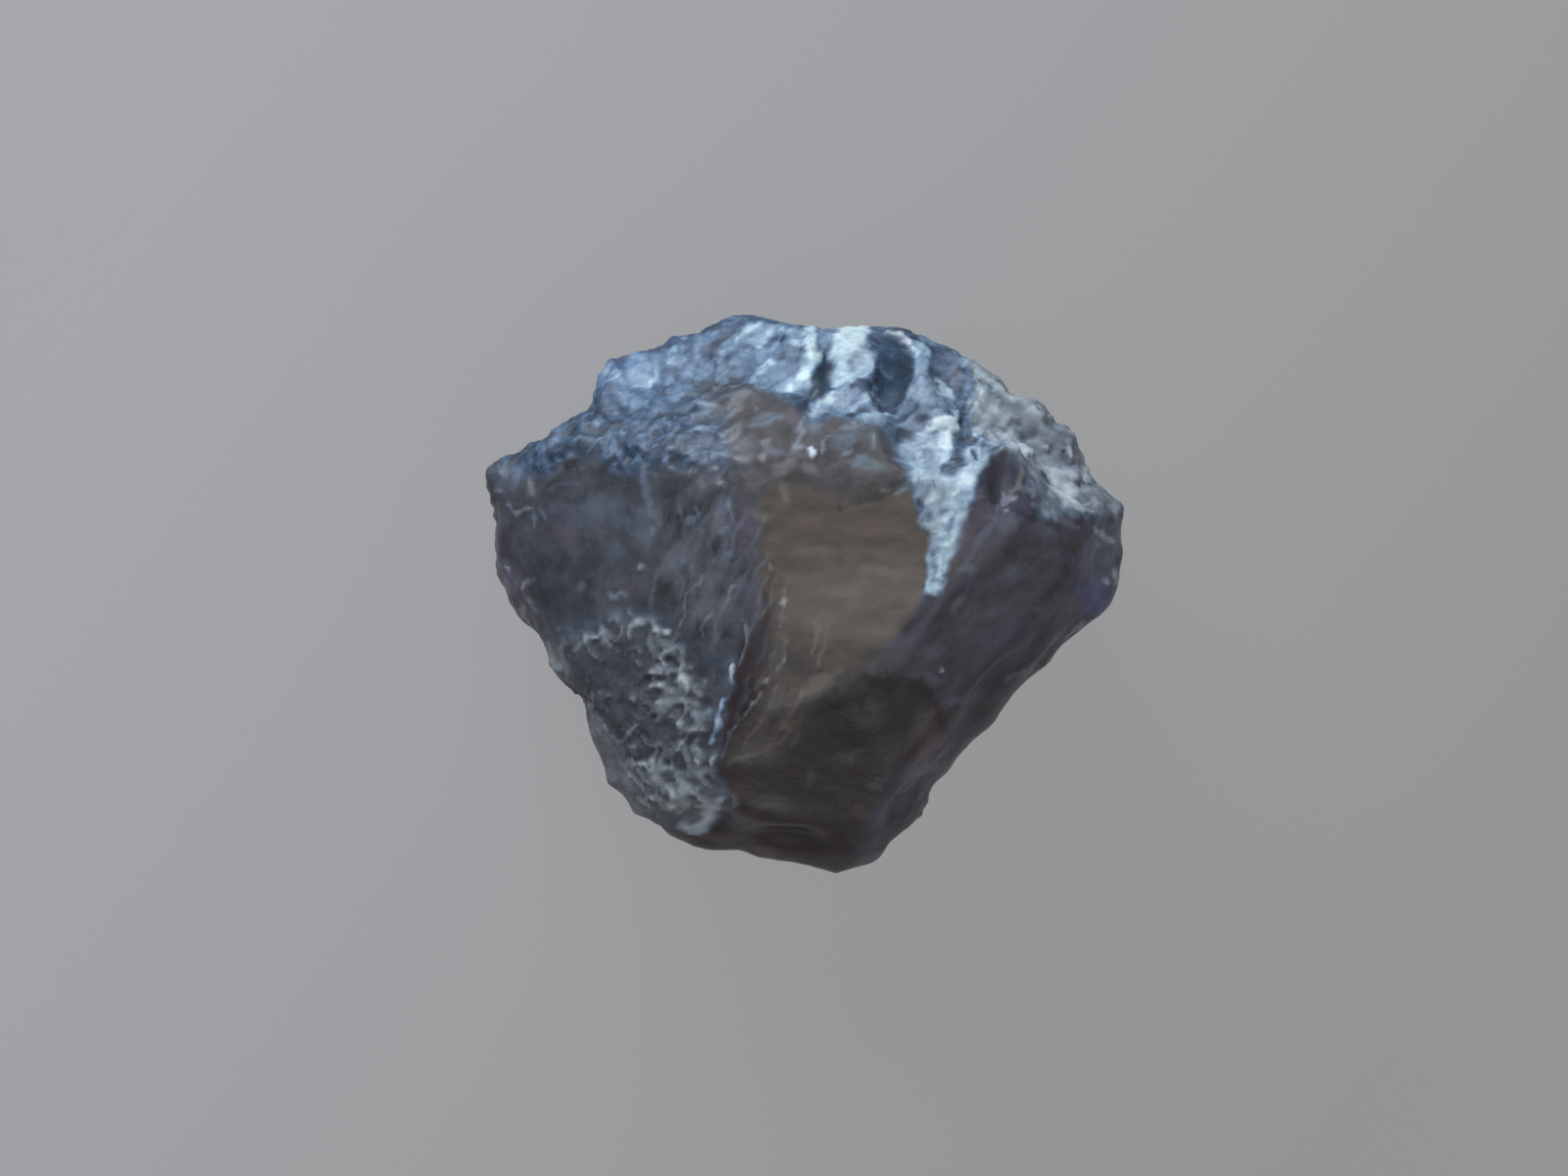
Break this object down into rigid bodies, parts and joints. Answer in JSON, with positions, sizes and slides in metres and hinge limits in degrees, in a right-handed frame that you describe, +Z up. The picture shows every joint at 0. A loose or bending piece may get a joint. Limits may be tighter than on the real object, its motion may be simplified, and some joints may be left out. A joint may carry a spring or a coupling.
{
  "type": "iolite crystal",
  "caption": "Rough iolite crystal with flat broken faces, scalloped shell-like breaks and thin ledges; lies flat on its underside for display or study.",
  "frame": {"origin": "on the resting face, under the middle of the stone's bounding box", "axes": "+X along the stone's greatest width, from its left shoulder to its right tip; +Y towards the bright scalloped breaks; +Z up, out of the clear window face"},
  "size_m": [0.025, 0.022, 0.012],
  "materials": {
    "iolite": "vitreous broken crystal, dark blue-grey to violet, brown where light comes through, frosted and pale blue on the scalloped breaks"
  },
  "bodies": {
    "root": {"iolite_crystal": "iolite"}
  },
  "joints": []
}
